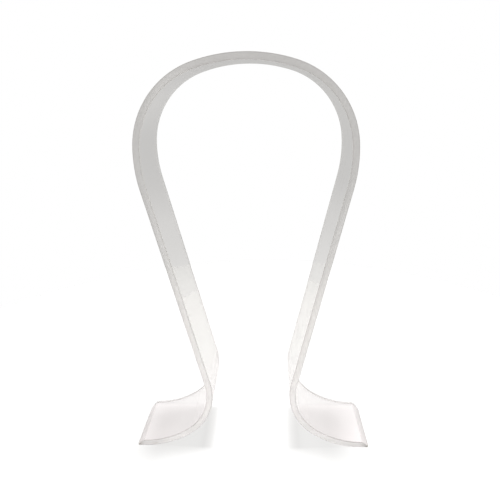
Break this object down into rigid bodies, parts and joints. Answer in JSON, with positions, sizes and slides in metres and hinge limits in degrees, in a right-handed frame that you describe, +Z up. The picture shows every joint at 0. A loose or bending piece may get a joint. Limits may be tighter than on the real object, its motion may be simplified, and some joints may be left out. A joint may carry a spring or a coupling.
{
  "type": "headphone stand",
  "caption": "Clear acrylic headphone stand: one sheet strip bent into an omega arch over inward-leaning legs with out-turned feet; the headband hangs over the arch.",
  "frame": {"origin": "middle of the plane that the two feet rest on, under the arch's middle", "axes": "+Z up, X along the stand's width from the left foot to the right foot, Y across the strip's width with the front edge at -Y"},
  "size_m": [0.1566, 0.045, 0.25],
  "materials": {
    "clear_acrylic": "clear cast acrylic, polished faces and polished sawn edges"
  },
  "bodies": {
    "root": {"bent_acrylic_strip": "clear_acrylic"}
  },
  "joints": []
}
